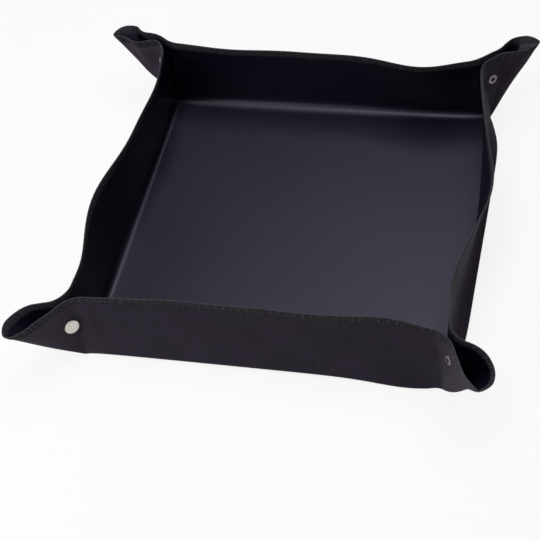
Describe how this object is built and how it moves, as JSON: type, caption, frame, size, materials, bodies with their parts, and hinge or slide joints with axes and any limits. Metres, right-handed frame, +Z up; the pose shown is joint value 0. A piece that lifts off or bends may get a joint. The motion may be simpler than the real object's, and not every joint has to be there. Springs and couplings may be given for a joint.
{
  "type": "fold-up potting soil tray",
  "caption": "Square tray of black coated cloth whose walls stand up while the pinched corner ears are snapped, and fold down into an open mat when unsnapped.",
  "frame": {"origin": "centre of the floor panel's underside", "axes": "+Z up, -Y towards the front wall, +X towards the right wall"},
  "size_m": [0.4554, 0.4382, 0.0847],
  "materials": {
    "cloth": "black coated woven cloth, satin inside and matt weave outside",
    "cap_metal": "satin silver-coloured pressed metal",
    "ring_metal": "dark nickel-coloured pressed metal"
  },
  "bodies": {
    "floor": {"floor_panel": "cloth"},
    "front_wall": {"front_wall": "cloth"},
    "front_cap_gusset": {"front_cap_gusset": "cloth", "front_snap_cap": "cap_metal", "front_snap_socket": "cap_metal"},
    "front_cap_flare": {"front_cap_flare": "cloth"},
    "front_cap_lip": {"front_cap_lip": "cloth"},
    "front_ring_gusset": {"front_ring_gusset": "cloth", "front_snap_ring": "ring_metal", "front_snap_stud": "ring_metal"},
    "front_ring_flare": {"front_ring_flare": "cloth"},
    "front_ring_lip": {"front_ring_lip": "cloth"},
    "right_wall": {"right_wall": "cloth"},
    "right_cap_gusset": {"right_cap_gusset": "cloth", "right_snap_cap": "cap_metal", "right_snap_socket": "cap_metal"},
    "right_cap_flare": {"right_cap_flare": "cloth"},
    "right_cap_lip": {"right_cap_lip": "cloth"},
    "right_ring_gusset": {"right_ring_gusset": "cloth", "right_snap_ring": "ring_metal", "right_snap_stud": "ring_metal"},
    "right_ring_flare": {"right_ring_flare": "cloth"},
    "right_ring_lip": {"right_ring_lip": "cloth"},
    "back_wall": {"back_wall": "cloth"},
    "back_cap_gusset": {"back_cap_gusset": "cloth", "back_snap_cap": "cap_metal", "back_snap_socket": "cap_metal"},
    "back_cap_flare": {"back_cap_flare": "cloth"},
    "back_cap_lip": {"back_cap_lip": "cloth"},
    "back_ring_gusset": {"back_ring_gusset": "cloth", "back_snap_ring": "ring_metal", "back_snap_stud": "ring_metal"},
    "back_ring_flare": {"back_ring_flare": "cloth"},
    "back_ring_lip": {"back_ring_lip": "cloth"},
    "left_wall": {"left_wall": "cloth"},
    "left_cap_gusset": {"left_cap_gusset": "cloth", "left_snap_cap": "cap_metal", "left_snap_socket": "cap_metal"},
    "left_cap_flare": {"left_cap_flare": "cloth"},
    "left_cap_lip": {"left_cap_lip": "cloth"},
    "left_ring_gusset": {"left_ring_gusset": "cloth", "left_snap_ring": "ring_metal", "left_snap_stud": "ring_metal"},
    "left_ring_flare": {"left_ring_flare": "cloth"},
    "left_ring_lip": {"left_ring_lip": "cloth"}
  },
  "joints": [
    {"name": "front_crease", "type": "hinge", "parent": "floor", "child": "front_wall", "pos_m": [0, -0.175, 0.0005], "axis": [1, 0, 0], "range_deg": [0, 70]},
    {"name": "front_cap_post", "type": "hinge", "parent": "front_wall", "child": "front_cap_gusset", "pos_m": [-0.17142, -0.175, 0.0005], "axis": [0.0526, -0.1578, -0.9861], "range_deg": [0, 34.58]},
    {"name": "front_cap_flare_fold", "type": "hinge", "parent": "front_cap_gusset", "child": "front_cap_flare", "pos_m": [-0.17142, -0.175, 0.0005], "axis": [0.3159, 0.1149, -0.9418], "range_deg": [0, 34.76]},
    {"name": "front_cap_lip_fold", "type": "hinge", "parent": "front_cap_flare", "child": "front_cap_lip", "pos_m": [-0.17142, -0.175, 0.0005], "axis": [-0.2998, -0.3357, 0.893], "range_deg": [0, 68.34]},
    {"name": "front_ring_post", "type": "hinge", "parent": "front_wall", "child": "front_ring_gusset", "pos_m": [0.17141, -0.175, 0.0005], "axis": [0.092, 0.1445, 0.9852], "range_deg": [0, 34.57]},
    {"name": "front_ring_flare_fold", "type": "hinge", "parent": "front_ring_gusset", "child": "front_ring_flare", "pos_m": [0.17141, -0.175, 0.0005], "axis": [0.3516, -0.1291, 0.9272], "range_deg": [0, 31.47]},
    {"name": "front_ring_lip_fold", "type": "hinge", "parent": "front_ring_flare", "child": "front_ring_lip", "pos_m": [0.17141, -0.175, 0.0005], "axis": [-0.3485, 0.3361, -0.875], "range_deg": [0, 61.92]},
    {"name": "right_crease", "type": "hinge", "parent": "floor", "child": "right_wall", "pos_m": [0.175, 0, 0.0005], "axis": [0, 1, 0], "range_deg": [0, 70]},
    {"name": "right_cap_post", "type": "hinge", "parent": "right_wall", "child": "right_cap_gusset", "pos_m": [0.175, -0.17141, 0.0005], "axis": [-0.092, -0.1445, -0.9852], "range_deg": [0, 34.85]},
    {"name": "right_cap_flare_fold", "type": "hinge", "parent": "right_cap_gusset", "child": "right_cap_flare", "pos_m": [0.175, -0.17141, 0.0005], "axis": [-0.3516, 0.1291, -0.9272], "range_deg": [0, 31.47]},
    {"name": "right_cap_lip_fold", "type": "hinge", "parent": "right_cap_flare", "child": "right_cap_lip", "pos_m": [0.175, -0.17141, 0.0005], "axis": [0.5406, -0.144, 0.8289], "range_deg": [0, 61.92]},
    {"name": "right_ring_post", "type": "hinge", "parent": "right_wall", "child": "right_ring_gusset", "pos_m": [0.175, 0.17145, 0.0005], "axis": [-0.0928, 0.053, 0.9943], "range_deg": [0, 34.84]},
    {"name": "right_ring_flare_fold", "type": "hinge", "parent": "right_ring_gusset", "child": "right_ring_flare", "pos_m": [0.175, 0.17145, 0.0005], "axis": [0.178, 0.3147, 0.9324], "range_deg": [0, 18.16]},
    {"name": "right_ring_lip_fold", "type": "hinge", "parent": "right_ring_flare", "child": "right_ring_lip", "pos_m": [0.175, 0.17145, 0.0005], "axis": [-0.3645, -0.3719, -0.8537], "range_deg": [0, 35.59]},
    {"name": "back_crease", "type": "hinge", "parent": "floor", "child": "back_wall", "pos_m": [0, 0.175, 0.0005], "axis": [-1, 0, 0], "range_deg": [0, 70]},
    {"name": "back_cap_post", "type": "hinge", "parent": "back_wall", "child": "back_cap_gusset", "pos_m": [0.17145, 0.175, 0.0005], "axis": [0.0928, -0.053, -0.9943], "range_deg": [0, 34.96]},
    {"name": "back_cap_flare_fold", "type": "hinge", "parent": "back_cap_gusset", "child": "back_cap_flare", "pos_m": [0.17145, 0.175, 0.0005], "axis": [-0.178, -0.3147, -0.9324], "range_deg": [0, 18.16]},
    {"name": "back_cap_lip_fold", "type": "hinge", "parent": "back_cap_flare", "child": "back_cap_lip", "pos_m": [0.17145, 0.175, 0.0005], "axis": [0.2479, 0.4884, 0.8366], "range_deg": [0, 35.59]},
    {"name": "back_ring_post", "type": "hinge", "parent": "back_wall", "child": "back_ring_gusset", "pos_m": [-0.17145, 0.175, 0.0005], "axis": [-0.0395, 0.1579, 0.9867], "range_deg": [0, 34.88]},
    {"name": "back_ring_flare_fold", "type": "hinge", "parent": "back_ring_gusset", "child": "back_ring_flare", "pos_m": [-0.17145, 0.175, 0.0005], "axis": [-0.302, 0.4055, 0.8627], "range_deg": [0, 15.59]},
    {"name": "back_ring_lip_fold", "type": "hinge", "parent": "back_ring_flare", "child": "back_ring_lip", "pos_m": [-0.17145, 0.175, 0.0005], "axis": [0.3531, -0.5197, -0.778], "range_deg": [0, 30.85]},
    {"name": "left_crease", "type": "hinge", "parent": "floor", "child": "left_wall", "pos_m": [-0.175, 0, 0.0005], "axis": [0, -1, 0], "range_deg": [0, 70]},
    {"name": "left_cap_post", "type": "hinge", "parent": "left_wall", "child": "left_cap_gusset", "pos_m": [-0.175, 0.17145, 0.0005], "axis": [0.0395, -0.1579, -0.9867], "range_deg": [0, 35.42]},
    {"name": "left_cap_flare_fold", "type": "hinge", "parent": "left_cap_gusset", "child": "left_cap_flare", "pos_m": [-0.175, 0.17145, 0.0005], "axis": [0.302, -0.4055, -0.8627], "range_deg": [0, 15.59]},
    {"name": "left_cap_lip_fold", "type": "hinge", "parent": "left_cap_flare", "child": "left_cap_lip", "pos_m": [-0.175, 0.17145, 0.0005], "axis": [-0.4258, 0.447, 0.7867], "range_deg": [0, 30.85]},
    {"name": "left_ring_post", "type": "hinge", "parent": "left_wall", "child": "left_ring_gusset", "pos_m": [-0.175, -0.17142, 0.0005], "axis": [-0.0526, 0.1578, 0.9861], "range_deg": [0, 35.07]},
    {"name": "left_ring_flare_fold", "type": "hinge", "parent": "left_ring_gusset", "child": "left_ring_flare", "pos_m": [-0.175, -0.17142, 0.0005], "axis": [-0.3159, -0.1149, 0.9418], "range_deg": [0, 34.76]},
    {"name": "left_ring_lip_fold", "type": "hinge", "parent": "left_ring_flare", "child": "left_ring_lip", "pos_m": [-0.175, -0.17142, 0.0005], "axis": [0.5212, 0.1143, -0.8458], "range_deg": [0, 68.34]}
  ],
  "couplings": [
    {"joint": "front_cap_post", "follows": "front_crease", "ratio": 0.49378},
    {"joint": "front_cap_flare_fold", "follows": "front_crease", "ratio": 0.49635},
    {"joint": "front_cap_lip_fold", "follows": "front_crease", "ratio": 0.97614},
    {"joint": "front_ring_post", "follows": "front_crease", "ratio": 0.49373},
    {"joint": "front_ring_flare_fold", "follows": "front_crease", "ratio": 0.44946},
    {"joint": "front_ring_lip_fold", "follows": "front_crease", "ratio": 0.88446},
    {"joint": "right_crease", "follows": "front_crease", "ratio": 1},
    {"joint": "right_cap_post", "follows": "front_crease", "ratio": 0.49769},
    {"joint": "right_cap_flare_fold", "follows": "front_crease", "ratio": 0.44946},
    {"joint": "right_cap_lip_fold", "follows": "front_crease", "ratio": 0.88446},
    {"joint": "right_ring_post", "follows": "front_crease", "ratio": 0.4975},
    {"joint": "right_ring_flare_fold", "follows": "front_crease", "ratio": 0.25927},
    {"joint": "right_ring_lip_fold", "follows": "front_crease", "ratio": 0.50826},
    {"joint": "back_crease", "follows": "front_crease", "ratio": 1},
    {"joint": "back_cap_post", "follows": "front_crease", "ratio": 0.49935},
    {"joint": "back_cap_flare_fold", "follows": "front_crease", "ratio": 0.25927},
    {"joint": "back_cap_lip_fold", "follows": "front_crease", "ratio": 0.50826},
    {"joint": "back_ring_post", "follows": "front_crease", "ratio": 0.49822},
    {"joint": "back_ring_flare_fold", "follows": "front_crease", "ratio": 0.22263},
    {"joint": "back_ring_lip_fold", "follows": "front_crease", "ratio": 0.44057},
    {"joint": "left_crease", "follows": "front_crease", "ratio": 1},
    {"joint": "left_cap_post", "follows": "front_crease", "ratio": 0.5058},
    {"joint": "left_cap_flare_fold", "follows": "front_crease", "ratio": 0.22263},
    {"joint": "left_cap_lip_fold", "follows": "front_crease", "ratio": 0.44057},
    {"joint": "left_ring_post", "follows": "front_crease", "ratio": 0.50086},
    {"joint": "left_ring_flare_fold", "follows": "front_crease", "ratio": 0.49635},
    {"joint": "left_ring_lip_fold", "follows": "front_crease", "ratio": 0.97614}
  ]
}
